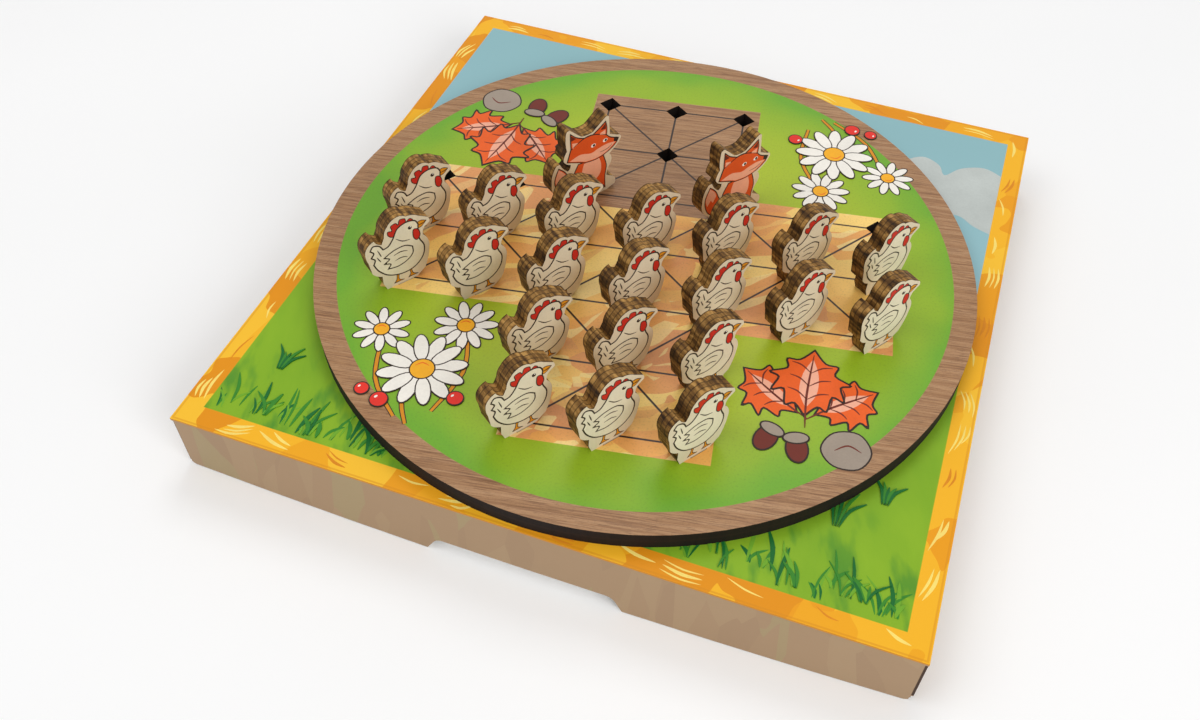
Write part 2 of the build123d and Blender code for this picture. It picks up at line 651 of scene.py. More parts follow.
@dataclass
class BoardFinish:
    """The board: a print of wood, meadow and straw on top, and an edge burnt by the laser."""

    grid: Grid
    line_width: float = 0.95
    edge_soft: float = 0.25
    middle_layer: float = 4.2

    def __post_init__(self) -> None:
        """Starts the material, with u, v and the height in millimetres from the middle of the top."""
        self.shop = NodeShop("board_print")
        self.spot = self.shop.place(self.grid.centre(), self.grid.turn)
        self.u, self.v, self.height = (part * (1 / MM) for part in self.shop.split(self.spot))

    def wood(self) -> Wire:
        """Printed wood grain that runs along the rows.

        Returns:
            The colour.
        """
        shop, u, v = self.shop, self.u, self.v
        warp = shop.grain(u * 0.008, v * 0.05, 0.0, 3.0)
        bands = shop.grain(u * 0.008, v * 0.42 + warp * 2.2, 3.0, 6.0, 0.68)
        pores = shop.grain(u * 0.11, v * 2.2, 7.0, 4.0, 0.7)
        streaks = shop.grain(u * 0.035, v * 1.1, 11.0, 3.0, 0.6)
        base = shop.ramp(bands, [(0.28, paint(130, 90, 58)), (0.44, paint(162, 120, 82)),
                                 (0.56, paint(176, 135, 97)), (0.74, paint(188, 150, 112))])
        base = shop.mix(streaks.over(0.56, 0.08) * 0.5, base, paint(116, 78, 52))
        return shop.mix(pores.over(0.57, 0.12) * 0.6, base, paint(100, 66, 44))

    def meadow(self, radius: Wire) -> Wire:
        """The green field, yellower towards the cross.

        Args:
            radius: The distance from the board's middle, in millimetres.

        Returns:
            The colour.
        """
        blots = self.shop.grain(self.u * 0.018, self.v * 0.018, 0.0, 2.0)
        share = radius * (1 / 140.0) + (blots - 0.5) * 0.45
        return self.shop.ramp(share, [(0.40, paint(176, 192, 38)), (0.68, paint(160, 184, 36)),
                                      (0.88, paint(140, 176, 34)), (1.05, paint(108, 166, 38))])

    def straw(self) -> Wire:
        """The straw-coloured cross, in curved brush strokes.

        Returns:
            The colour.
        """
        shop, u, v = self.shop, self.u, self.v
        bend = shop.grain(u * 0.02, v * 0.02, 2.0) - 0.5
        tone = shop.grain(u * 0.016, v * 0.016, 8.0)
        curl = (shop.grain(u * 0.05, v * 0.05, 4.0) - 0.5) * 1.4
        cells = shop.patches(u * 0.022 + bend * 1.6 + curl, v * 0.075 - u * 0.02 + bend * 2.4, 0.0)
        wisps = shop.patches(u * 0.06 + v * 0.04 + bend * 3.0 + curl,
                             v * 0.16 - u * 0.10 + bend * 5.0 + curl, 0.5)
        base = shop.ramp(tone * 0.7 + cells * 0.36, [
            (0.34, paint(228, 158, 98)), (0.46, paint(240, 174, 90)), (0.56, paint(248, 196, 104)),
            (0.68, paint(251, 212, 120)), (0.80, paint(252, 222, 134))])
        base = shop.mix(wisps.over(0.80, 0.02) * 0.6, base, paint(253, 232, 158))
        return shop.mix(wisps.under(0.12, 0.02) * 0.4, base, paint(222, 146, 86))

    def cross(self, margin: float) -> Wire:
        """The playing cross as a mask.

        Args:
            margin: How far it reaches past the outer holes' centres, in millimetres.

        Returns:
            1 on the cross and 0 beside it.
        """
        u, v, soft = self.u.size(), self.v.size(), self.edge_soft
        wide, long = self.grid.pitch + margin, 3 * self.grid.pitch + margin
        return (u.under(wide, soft) * v.under(long, soft)).either(v.under(wide, soft) * u.under(long, soft))

    def lines(self) -> Wire:
        """The dark lines that join the holes.

        Returns:
            1 on a line and 0 beside it.
        """
        u, v, pitch = self.u, self.v, self.grid.pitch
        slant, gap = math.sqrt(0.5), pitch * math.sqrt(2)
        straight = self.stripes(v, pitch).either(self.stripes(u, pitch))
        rising, falling = self.stripes((u + v) * slant, gap), self.stripes((u - v) * slant, gap)
        return straight.either(rising).either(falling) * self.cross(self.line_width / 2)

    def stripes(self, value: Wire, gap: float) -> Wire:
        """Thin lines a gap apart, one of them through zero."""
        near = self.shop.maths("PINGPONG", value, gap / 2)
        return near.under(self.line_width / 2, self.edge_soft)

    def burnt_edge(self) -> tuple[Wire, Wire]:
        """The edge as the laser left it.

        Returns:
            Its colour and its relief.
        """
        x, y, _ = self.shop.split(self.spot)
        char = self.shop.grain(x * 420.0, y * 420.0, self.height * 0.06, 4.0, 0.6)
        layer = (self.height + self.middle_layer).size().under(0.5, 0.6)
        colour = self.shop.ramp(char, [(0.3, paint(10, 4, 1)), (0.7, paint(26, 13, 6))])
        return self.shop.mix(layer * 0.4, colour, paint(38, 22, 12)), char

    def build(self) -> Material:
        """Makes the board's material.

        Returns:
            The finished material.
        """
        shop, u, v, soft = self.shop, self.u, self.v, self.edge_soft
        pitch, margin = self.grid.pitch, self.grid.play_margin
        radius = shop.maths("SQRT", u * u + v * v)
        den = u.size().under(pitch + margin, soft) * v.over(pitch - margin, soft)
        den = den * v.under(3 * pitch + margin, soft)
        wood = self.wood()
        colour = shop.mix(self.cross(margin), self.meadow(radius), self.straw())
        colour = shop.mix(den, colour, wood)
        colour = shop.mix(radius.over(self.grid.radius() - self.grid.rim, soft), colour, wood)
        colour = shop.mix(self.lines(), colour, paint(44, 32, 28))
        tooth = shop.noise(self.spot, 1100.0, 2.0)
        colour = shop.mix(tooth.over(0.62, 0.2) * 0.16, colour, paint(70, 64, 44))
        burnt, char = self.burnt_edge()
        top = shop.split(shop.normal())[2].over(0.5, 0.1)
        rough = top * (0.34 + tooth * 0.1 - 0.8) + 0.8
        relief = top * (tooth * 0.3 - char) + char
        return shop.surface(shop.mix(top, burnt, colour), rough, relief, 0.08, 0.26)


@dataclass(frozen=True)
class PlyFinish:
    """A game piece: a printed front, a plain back, and plywood edges burnt by the laser, painted a little
    lighter where they face up.
    """

    name: str
    grid: Grid
    border: tuple[int, int, int]
    thickness: float = 7.4

    def build(self) -> Material:
        """Makes the pieces' material.

        Returns:
            The finished material.
        """
        shop, grid = NodeShop(self.name), self.grid
        facing = grid.turn - math.radians(45)
        spot = shop.place(grid.centre(), facing)
        depth, across, height = (part * (1 / MM) for part in shop.split(spot))
        toward, _, upward = shop.split(shop.place(turn=facing, kind="Normal"))
        layer = shop.maths("PINGPONG", depth, grid.pitch / math.sqrt(2) / 2)
        inner_ply = self.thickness / 6
        burr = shop.grain(layer * 0.14, across * 0.5, height * 0.5, 4.0, 0.58)
        patch = shop.grain(depth * 0.16, across * 0.22, height * 0.22, 2.0)
        # Char tone from noise and patches, plus the upward term: edge faces that look up are painted lighter,
        # a painted highlight for the light from above.
        char_and_painted_top_light = burr * 0.75 + patch * 0.4 + upward * 0.06 - 0.07
        edge = shop.ramp(char_and_painted_top_light, [(0.38, paint(38, 24, 10)), (0.47, paint(80, 54, 24)),
                                (0.56, paint(128, 92, 44)), (0.68, paint(182, 138, 76))])
        edge = shop.mix(layer.under(inner_ply, 0.3) * 0.3, edge, paint(92, 62, 28))
        glue = (layer - inner_ply + (patch - 0.5) * 0.7).size().under(0.2, 0.3)
        rim = layer.over(self.thickness / 2 - 0.4, 0.4)
        edge = shop.mix(glue.either(rim) * 0.75, edge, paint(30, 18, 8))
        fibre = shop.grain(depth * 0.1, across * 0.9, height * 0.06, 4.0)
        front = shop.mix(fibre.over(0.5, 0.4) * 0.14, paint(*self.border), paint(186, 168, 130))
        back = shop.ramp(fibre, [(0.3, paint(196, 164, 118)), (0.7, paint(222, 194, 150))])
        colour = shop.mix(toward.over(0.5, 0.1), shop.mix(toward.under(-0.5, 0.1), edge, back), front)
        flat = toward.size().over(0.5, 0.1)
        relief = flat * (fibre * 0.1 - burr) + burr
        return shop.surface(colour, flat * -0.2 + 0.62, relief, 0.16)


@dataclass
class LidFinish:
    """The lid: a printed top, plain taupe walls with faint streaks, and bare carton inside."""

    half: float = 156.0
    border: float = 9.7
    horizon: float = 18.0
    fold: float = 0.9
    slit: float = 1.25
    slit_top: float = 1.6

    def __post_init__(self) -> None:
        """Starts the material, with x, y and z in millimetres from the middle of the top."""
        self.shop = NodeShop("lid_print")
        self.spot = self.shop.place(top_middle("box_lid"))
        self.x, self.y, self.z = (part * (1 / MM) for part in self.shop.split(self.spot))

    def build(self) -> Material:
        """Makes the lid's material.

        Returns:
            The finished material.
        """
        shop, x, y, z = self.shop, self.x, self.y, self.z
        bare = paint(216, 210, 200)
        inner = x.size().either(y.size())
        tooth = shop.noise(self.spot, 800.0, 3.0)
        top = shop.mix(inner.under(self.half - self.border, 0.25), self.straw(), self.landscape())
        # A darker orange line just inside the fold: painted shade where the carton bends over the edge.
        crease_painted_shade = inner.over(self.half - 1.3, 0.3) * inner.under(self.half - 0.5, 0.3)
        top = shop.mix(crease_painted_shade * 0.5, top, paint(214, 138, 28))
        nx, ny, nz = shop.split(shop.normal())
        outward = (nx * x + ny * y).over(0.0, 0.1)
        lean = shop.grain(x * 0.02, y * 0.02, 6.0) - 0.5
        blades = shop.patches(x * 0.11 + z * lean * 0.25, y * 0.11 + z * lean * 0.25, z * 0.018)
        wall = shop.ramp(blades, [(0.0, paint(170, 141, 110)), (0.52, paint(173, 145, 113)),
                                  (0.72, paint(169, 148, 112)), (0.86, paint(167, 138, 108))], hard=True)
        # The straw print wraps over the fold onto the top of the wall, written in a darker orange: print
        # colour with painted shade of the bend.
        wall = shop.mix(z.over(-self.fold, 0.35), wall, paint(208, 138, 24))
        # The corner slits' faces are painted dark brown: partly the cut edge of the print, partly painted
        # shade inside the narrow gap.
        corner = self.half - self.slit
        slit = x.size().over(corner, 0.2) * y.size().over(corner, 0.2) * z.under(-self.slit_top, 0.2)
        wall = shop.mix(slit, wall, paint(74, 50, 34))
        colour = shop.mix(nz.over(0.5, 0.1), shop.mix(outward, bare, wall), top)
        colour = shop.mix(nz.under(-0.5, 0.1), colour, bare)
        return shop.surface(colour, 0.40 + tooth * 0.12, tooth, 0.02)

    def straw(self) -> Wire:
        """The straw border in curved strokes of orange and yellow.

        Returns:
            The colour.
        """
        shop, x, y = self.shop, self.x, self.y
        bend = shop.grain(x * 0.03, y * 0.03, 1.0) - 0.5
        curl = (shop.grain(x * 0.06, y * 0.06, 5.0) - 0.5) * 0.9
        cells = shop.patches(x * 0.032 + y * 0.02 + bend * 0.8 + curl,
                             y * 0.032 - x * 0.02 + bend * 0.8 + curl, 0.0)
        return shop.ramp(cells, [(0.0, paint(236, 158, 26)), (0.24, paint(246, 182, 38)),
                                 (0.50, paint(240, 168, 30)), (0.68, paint(248, 192, 50)),
                                 (0.84, paint(228, 146, 22))], hard=True)

    def landscape(self) -> Wire:
        """Sky over a meadow.

        Returns:
            The colour.
        """
        shop, x, y = self.shop, self.x, self.y
        blots = shop.grain(x * 0.015, y * 0.015, 0.0, 2.0)
        grass = shop.grain(x * 0.09 + y * 0.03, y * 0.035, 2.0, 3.0)
        sky = shop.ramp(y * (1 / 150.0) + (blots - 0.5) * 0.2, [
            (0.2, paint(150, 192, 200)), (0.9, paint(142, 184, 190))])
        light = shop.ramp(blots * 0.7 + grass * 0.3, [
            (0.35, paint(118, 164, 34)), (0.6, paint(140, 180, 40))])
        dark = grass.under(0.42, 0.12) * y.under(-112.0, 34.0) * 0.7
        return shop.mix(y.under(self.horizon, 3.0), sky, shop.mix(dark, light, paint(60, 132, 44)))


@dataclass(frozen=True)
class CartonFinish:
    """Plain white carton."""

    def build(self) -> Material:
        """Makes the carton's material.

        Returns:
            The finished material.
        """
        shop = NodeShop("white_carton")
        spot = shop.place()
        fibre = shop.noise(spot, 1400.0, 4.0, 0.7)
        colour = shop.ramp(fibre, [(0.3, paint(240, 239, 236)), (0.7, paint(250, 250, 248))])
        return shop.surface(colour, 0.7 + fibre * 0.1, fibre, 0.02)


@dataclass
class HenPrint:
    """The hen on the front of a piece, in the piece's own axes."""

    rack: InkRack
    line: float = 0.65

    def draw(self, name: str) -> PrintSheet:
        """Prints a standing hen in side view.

        Args:
            name: The print's name.

        Returns:
            The sheet, still flat.
        """
        sheet = PrintSheet(name, self.rack)
        for x, lean in ((-3.4, -0.5), (2.6, 0.5)):
            sheet.drawn(closed_shape([(x - 0.5, 6.2), (x - 0.5 + lean, 3.4)], [(x - 1.8 + lean, 1.6)],
                                     [(x + 3.0 + lean, 1.6), (x + 0.7 + lean, 3.0)], [(x + 0.6, 6.2)]),
                        Ink.BEAK_OCHRE, 0.35)
        comb = [(-1.6, 28.2), (-4.4, 29.6), (-4.6, 32.0), (-2.6, 31.8), (-2.8, 34.4), (-0.4, 35.0),
                (0.6, 33.6), (1.6, 35.9), (4.0, 35.4), (4.4, 33.4), (6.2, 34.4), (7.6, 32.8), (6.6, 31.0)]
        sheet.drawn(loop_shape(comb), Ink.COMB_RED, 0.4)
        beak = closed_shape([(9.0, 30.4), (11.2, 30.8)], [(13.6, 29.6), (11.0, 27.4)], [(9.0, 27.2)])
        sheet.drawn(beak, Ink.BEAK_OCHRE, 0.35)
        body = closed_shape(
            [(9.6, 29.6), (8.2, 32.2), (4.2, 33.2), (-0.2, 31.6), (-2.8, 27.2), (-5.4, 24.2)],
            [(-8.0, 23.6), (-9.4, 26.4), (-12.2, 27.6)], [(-13.8, 25.6), (-12.4, 23.6)],
            [(-13.9, 21.6), (-12.4, 19.6)],
            [(-13.4, 17.2), (-11.6, 12.6), (-7.6, 8.0), (-1.4, 5.6), (5.0, 6.4), (9.6, 10.6),
             (10.9, 16.2), (9.2, 21.2), (9.2, 26.0)])
        sheet.drawn(body, Ink.HEN_WHITE, self.line, 3)
        wattle = loop_shape([(7.0, 27.4), (9.2, 26.8), (9.8, 23.4), (8.2, 21.2), (6.6, 23.2)])
        sheet.drawn(wattle, Ink.COMB_RED, 0.45, 5)
        wing = closed_shape(
            [(5.4, 18.6), (2.0, 20.8), (-3.4, 20.6)], [(-8.4, 18.6), (-6.0, 16.8)],
            [(-8.8, 15.2), (-5.8, 13.8)], [(-7.4, 11.6), (-2.4, 10.8), (2.4, 12.2), (5.2, 15.0)])
        sheet.drawn(wing, Ink.HEN_WHITE, 0.6, 5)
        for line, layer in (([(-3.8, 17.8), (-0.4, 18.4), (2.8, 17.4)], 7),
                            ([(-3.6, 14.6), (-0.4, 15.0), (2.4, 14.0)], 7),
                            ([(-10.6, 24.6), (-9.8, 21.8), (-9.4, 20.2)], 5),
                            ([(-11.4, 20.8), (-10.6, 18.8), (-10.0, 17.4)], 5),
                            ([(-1.6, 26.6), (1.4, 23.8), (4.8, 23.0)], 5)):
            sheet.stroke(line, 0.55, Ink.OUTLINE, layer)
        sheet.stroke([(9.6, 28.8), (11.4, 28.9), (13.0, 29.4)], 0.4, Ink.OUTLINE, 5)
        sheet.area(oval(5.6, 29.4, 1.9, 1.9), Ink.OUTLINE, 5)
        sheet.area(oval(5.95, 29.85, 0.6, 0.6), Ink.PETAL_WHITE, 6)
        return sheet


@dataclass
class FoxPrint:
    """The fox on the front of a piece, in the piece's own axes."""

    rack: InkRack

    def draw(self, name: str) -> PrintSheet:
        """Prints a sitting fox with its head turned to the side.

        Args:
            name: The print's name.

        Returns:
            The sheet, still flat.
        """
        sheet = PrintSheet(name, self.rack)
        tail = closed_shape([(-7.0, 5.0), (-12.0, 5.6), (-17.6, 10.6), (-19.6, 18.4)],
                            [(-17.2, 25.4), (-13.6, 21.6), (-10.8, 15.6)], [(-7.0, 12.0)])
        sheet.drawn(tail, Ink.FOX_ORANGE, 0.5)
        tip = closed_shape([(-17.2, 24.7), (-19.2, 18.6)], [(-18.0, 14.4)], [(-16.2, 17.4)],
                           [(-14.8, 15.4)], [(-13.2, 18.6), (-14.2, 21.4)])
        sheet.area(tip, Ink.FOX_CREAM, 3)
        trunk = closed_shape([(-6.4, 23.0), (-9.6, 16.0), (-9.0, 7.6)], [(-7.6, 2.0)],
                             [(8.8, 2.0), (8.6, 9.0), (9.4, 15.6)], [(7.6, 22.4)])
        sheet.drawn(trunk, Ink.FOX_ORANGE, 0.5, 4)
        chest = closed_shape([(-3.2, 22.0), (-4.4, 16.4), (-1.8, 10.6)],
                             [(2.0, 8.4), (5.8, 12.2), (6.4, 17.4)], [(5.2, 22.0)])
        sheet.area(chest, Ink.FOX_CREAM, 6)
        for x in (-4.8, 3.4):
            sheet.drawn(loop_shape([(x - 1.6, 7.0), (x - 1.8, 3.2), (x + 0.6, 1.7), (x + 4.2, 1.8),
                                    (x + 4.6, 3.6), (x + 2.0, 4.8), (x + 1.8, 7.2)]), Ink.FOX_BROWN, 0.4, 7)
        sheet.stroke([(-7.4, 12.6), (-5.0, 14.6), (-3.6, 10.4), (-4.6, 7.4)], 0.45, Ink.OUTLINE, 7)
        self.ear(sheet, -1, (-10.2, 32.6), (-10.4, 38.0), (-10.4, 42.4))
        self.ear(sheet, 1, (9.4, 33.6), (9.6, 37.6), (8.9, 41.4))
        head = closed_shape([(-10.4, 33.4), (-4.0, 36.6), (2.0, 36.8)], [(9.4, 33.6), (11.6, 31.2)],
                            [(16.2, 28.8), (14.4, 26.0), (9.6, 23.2), (3.6, 21.8)],
                            [(-2.6, 22.4), (-6.2, 24.2)], [(-12.4, 27.0), (-11.6, 29.6)])
        sheet.drawn(head, Ink.FOX_ORANGE, 0.5, 9)
        cheek = closed_shape([(-11.2, 27.0), (-5.4, 28.4), (0.6, 26.6)], [(4.0, 27.4), (9.6, 28.2)],
                             [(14.6, 27.4), (9.4, 23.7), (3.6, 22.4)], [(-2.4, 23.0), (-6.0, 24.8)])
        sheet.area(cheek, Ink.FOX_CREAM, 11)
        sheet.area(loop_shape([(14.0, 30.0), (16.2, 29.0), (15.4, 27.4), (13.6, 28.0)]), Ink.OUTLINE, 12)
        for x, y in ((2.0, 30.6), (8.6, 30.8)):
            sheet.area(oval(x, y, 2.6, 1.9, 12), Ink.PETAL_WHITE, 11)
            sheet.area(oval(x + 0.3, y, 1.3, 1.5), Ink.OUTLINE, 12)
        sheet.stroke([(5.6, 25.0), (9.6, 25.2), (12.6, 26.8)], 0.35, Ink.OUTLINE, 12)
        return sheet

    def ear(self, sheet: PrintSheet, side: int, foot: Point, bend: Point, top: Point) -> None:
        """Prints one ear.

        Args:
            sheet: Where it is printed.
            side: -1 for the left ear and 1 for the right one.
            foot: Where its outer edge starts.
            bend: A point of that edge.
            top: Its tip.
        """
        x, inner = foot[0], foot[0] - side * 8.6
        ear = closed_shape([foot, bend], [top, (top[0] - side * 3.4, 39.0)], [(inner, 36.2)], [(inner, 32.0)])
        sheet.drawn(ear, Ink.FOX_ORANGE, 0.5, 7)
        sheet.area([(top[0], top[1] - 0.8), (top[0] - side * 2.9, top[1] - 3.7),
                    (top[0] + side * 0.1, top[1] - 4.2)], Ink.FOX_BROWN, 9)
        sheet.area([(x - side * 0.8, 33.0), (x - side * 0.6, 36.8), (x - side * 3.6, 36.0),
                    (x - side * 4.0, 33.2)], Ink.FOX_CREAM, 9)


@dataclass
class BoardMotifs:
    """Flowers and autumn leaves in the board's four green corners."""

    rack: InkRack
    grid: Grid

    def build(self) -> None:
        """Prints the four corners."""
        for name, u, v, turn, draw in (("flowers_front", -82.0, -82.0, 12.0, self.flowers),
                                       ("flowers_back", 84.0, 82.0, 205.0, self.flowers),
                                       ("leaves_front", 79.0, -78.0, -6.0, self.leaves),
                                       ("leaves_back", -80.0, 76.0, 160.0, self.leaves)):
            sheet = PrintSheet("board_" + name, self.rack)
            draw(sheet)
            spot = Matrix.Translation((u, v, 0)) @ Matrix.Rotation(math.radians(turn), 4, "Z")
            sheet.finish(self.grid.face() @ spot, "board", "printed_board")

    def flowers(self, sheet: PrintSheet) -> None:
        """White flowers with yellow hearts, ochre stems and red berries.

        Args:
            sheet: Where they are printed.
        """
        for stem in (((0, 0), (-7, -18), (-5, -32)), ((-18, 17), (-19, -8), (-10, -28)),
                     ((18, 15), (17, -6), (5, -26))):
            sheet.stroke(stem, 2.4, Ink.OUTLINE, 1, 0.8)
            sheet.stroke(stem, 1.5, Ink.BEAK_OCHRE, 2, 0.8)
        blooms = ((-19, 19, 12.5, 10, 0.3), (17, 20, 14.0, 11, 0.0), (0, -4, 19.0, 12, 0.1))
        for bloom, (x, y, reach, petals, phase) in enumerate(blooms):
            layer = 3 + 9 * bloom
            for number in range(petals):
                angle = math.tau * number / petals + phase
                px, py = x + math.cos(angle) * reach * 0.62, y + math.sin(angle) * reach * 0.62
                sheet.drawn(oval(px, py, reach * 0.78, reach * 0.34, math.degrees(angle), 16),
                            Ink.PETAL_WHITE, 0.55, layer + 2 * (number % 2))
            sheet.drawn(oval(x, y, reach * 0.56, reach * 0.56, 0, 24), Ink.POLLEN_YELLOW, 0.55, layer + 5)
            shade = [(x - reach * 0.16, y + reach * 0.1), (x, y + reach * 0.17),
                     (x + reach * 0.15, y + reach * 0.08)]
            sheet.stroke(shade, 0.5, Ink.LEAF_ORANGE, layer + 7)
        for x, y, size in ((-16.5, -19.5, 7.6), (-24.0, -13.5, 6.2), (14.5, -20.0, 7.0)):
            sheet.drawn(oval(x, y, size, size), Ink.BERRY_RED, 0.5, 29)
            glint = oval(x - size * 0.16, y + size * 0.18, size * 0.22, size * 0.14, 40, 12)
            sheet.area(glint, Ink.PETAL_WHITE, 31)

    def leaves(self, sheet: PrintSheet) -> None:
        """Orange leaves with pale hearts, acorns and a grey pebble.

        Args:
            sheet: Where they are printed.
        """
        pebble = loop_shape([(8, -18), (14, -25), (24, -24), (28, -15), (22, -7), (12, -9)])
        sheet.drawn(pebble, Ink.PEBBLE_GREY, 0.7)
        sheet.stroke([(13.5, -17.5), (18.5, -13.8), (24.0, -15.8)], 0.8, Ink.ACORN_BROWN, 3)
        fan = ((-4, -3, 31.0, 146.0), (3, -2, 30.0, 38.0), (-1, -4, 36.0, 92.0))
        for number, (x, y, reach, turn) in enumerate(fan):
            self.leaf(sheet, x, y, reach, turn, 1 + 5 * number)
        for x, y, turn, layer in ((-14.0, -19.0, -20.0, 16), (-1.0, -21.0, 14.0, 20)):
            sheet.drawn(oval(x, y, 9.0, 13.4, turn), Ink.ACORN_BROWN, 0.7, layer)
            c, s = math.cos(math.radians(turn)), math.sin(math.radians(turn))
            sheet.drawn(oval(x - s * 5.2, y + c * 5.2, 10.6, 5.6, turn), Ink.PEBBLE_GREY, 0.7, layer + 2)

    def leaf(self, sheet: PrintSheet, x: float, y: float, reach: float, turn: float, layer: int) -> None:
        """One lobed leaf that points along its turn.

        Args:
            sheet: Where it is printed.
            x: Its foot across.
            y: Its foot up.
            reach: Its length.
            turn: Its turn in degrees.
            layer: How many steps its dark line stands above the face.
        """
        right = [(0.0, 0.0), (0.16, 0.13), (0.12, 0.24), (0.34, 0.28), (0.30, 0.42), (0.50, 0.36),
                 (0.56, 0.47), (0.66, 0.28), (0.80, 0.30), (0.82, 0.15), (1.0, 0.0)]
        c, s = math.cos(math.radians(turn)), math.sin(math.radians(turn))

        def put(a: float, b: float) -> Point:
            """A point of the leaf on the sheet."""
            return x + reach * (c * a - s * b), y + reach * (s * a + c * b)

        outline = closed_shape([put(a, b) for a, b in right[:-1]], [put(a, -b) for a, b in right[:0:-1]],
                               steps=4)
        sheet.drawn(outline, Ink.LEAF_ORANGE, 0.9, layer)
        heart = closed_shape([put(0.12, 0.0), put(0.34, 0.1), put(0.62, 0.09)],
                             [put(0.86, 0.0), put(0.62, -0.09), put(0.34, -0.1)])
        sheet.area(heart, Ink.LEAF_CREAM, layer + 2)
        sheet.stroke([put(-0.16, -0.03), put(0.3, 0.01), put(0.92, 0.0)], 1.0, Ink.ACORN_BROWN, layer + 3)
        for along in (0.24, 0.44, 0.64):
            for side in (-1, 1):
                sheet.stroke([put(along, 0.0), put(along + 0.1, side * 0.12), put(along + 0.13, side * 0.24)],
                             0.7, Ink.ACORN_BROWN, layer + 3)


@dataclass
class LidPrint:
    """A cloud, grass and straw strokes on the lid's top."""

    rack: InkRack
    half: float
    border: float
    dice: random.Random = field(default_factory=lambda: random.Random(7))

    def build(self) -> None:
        """Prints the lid."""
        face = Matrix.Translation(top_middle("box_lid")) @ Matrix.Scale(MM, 4)
        for name, draw in (("lid_cloud", self.cloud), ("lid_grass", self.grass), ("lid_straw", self.straw)):
            sheet = PrintSheet(name, self.rack)
            draw(sheet)
            sheet.finish(face, "lid", "printed_carton")

    def cloud(self, sheet: PrintSheet) -> None:
        """A soft grey cloud in the back right corner of the sky.

        Args:
            sheet: Where it is printed.
        """
        edge = 146.2
        outline = closed_shape([(88.0, 84.0), (96.0, 96.0), (97.0, 112.0), (106.0, 120.5), (115.0, 117.0),
                                (119.0, 110.0), (126.0, 118.0), (137.0, 122.5)], [(edge, 119.0)],
                               [(edge, 74.0), (138.0, 77.0), (130.0, 82.0), (118.0, 80.0), (104.0, 78.0)])
        sheet.area(outline, Ink.CLOUD)

    def grass(self, sheet: PrintSheet) -> None:
        """Tufts of curved blades along the front of the meadow.

        Args:
            sheet: Where they are printed.
        """
        edge, tufts = self.half - self.border, 46
        shades = (Ink.GRASS_DARK, Ink.GRASS_MID, Ink.GRASS_LIGHT, Ink.GRASS_MID)
        for number in range(tufts):
            x = -edge + 6 + (2 * edge - 12) * (number + self.dice.uniform(-0.4, 0.4)) / (tufts - 1)
            y = -edge + 1.2 + self.dice.uniform(0.0, 7.0)
            for blade in range(self.dice.randint(3, 6)):
                lean = self.dice.uniform(-0.9, 0.9)
                tall = self.dice.uniform(7.0, 21.0) * (1 - 0.45 * abs(lean))
                foot = min(max(x + self.dice.uniform(-2.5, 2.5), 2 - edge), edge - 2)
                tip = min(max(foot + lean * tall, 1 - edge), edge - 1)
                stem = [(foot, y), (foot + (tip - foot) * 0.3, y + tall * 0.55), (tip, y + tall)]
                sheet.stroke(stem, self.dice.uniform(0.9, 1.9), shades[(number + blade) % 4],
                             1 + number % 4 * 6 + blade, 0.12, 4)
        for x, y, reach in ((-118.0, -92.0, 1.0), (-128.0, -118.0, 0.8), (112.0, -112.0, 1.1),
                            (128.0, -96.0, 0.7)):
            for blade, lean in enumerate((-0.5, -0.2, 0.05, 0.35, 0.7)):
                tall = reach * self.dice.uniform(11.0, 18.0)
                stem = [(x + lean * 2, y), (x + lean * tall * 0.4, y + tall * 0.6),
                        (x + lean * tall, y + tall)]
                sheet.stroke(stem, 1.3, shades[blade % 2], 25 + blade, 0.1, 4)

    def straw(self, sheet: PrintSheet) -> None:
        """Pale and deep strokes in the straw border.

        Args:
            sheet: Where they are printed.
        """
        middle, low, high = self.half - self.border / 2, self.half - self.border + 1.2, self.half - 1.6
        for side in range(4):
            c, s = math.cos(side * math.pi / 2), math.sin(side * math.pi / 2)
            for number in range(12):
                along = -self.half + 12 + 24.0 * number + self.dice.uniform(-7, 7)
                slope = self.dice.uniform(-1.1, 1.1)
                ink = Ink.STRAW_DEEP if number % 4 == 1 else Ink.STRAW_PALE
                for twin in range(self.dice.randint(1, 3)):
                    across = middle + (twin - 1) * 2.1
                    long = self.dice.uniform(9.0, 17.0)
                    line = [(along, across - slope * 2), (along + long / 2, across + 1.0),
                            (along + long, across + slope * 2)]
                    line = [(a, min(max(b, low), high)) for a, b in line]
                    sheet.stroke([(c * a - s * b, s * a + c * b) for a, b in line],
                                 self.dice.uniform(0.7, 1.5), ink, 1 + twin, 0.06, 4)


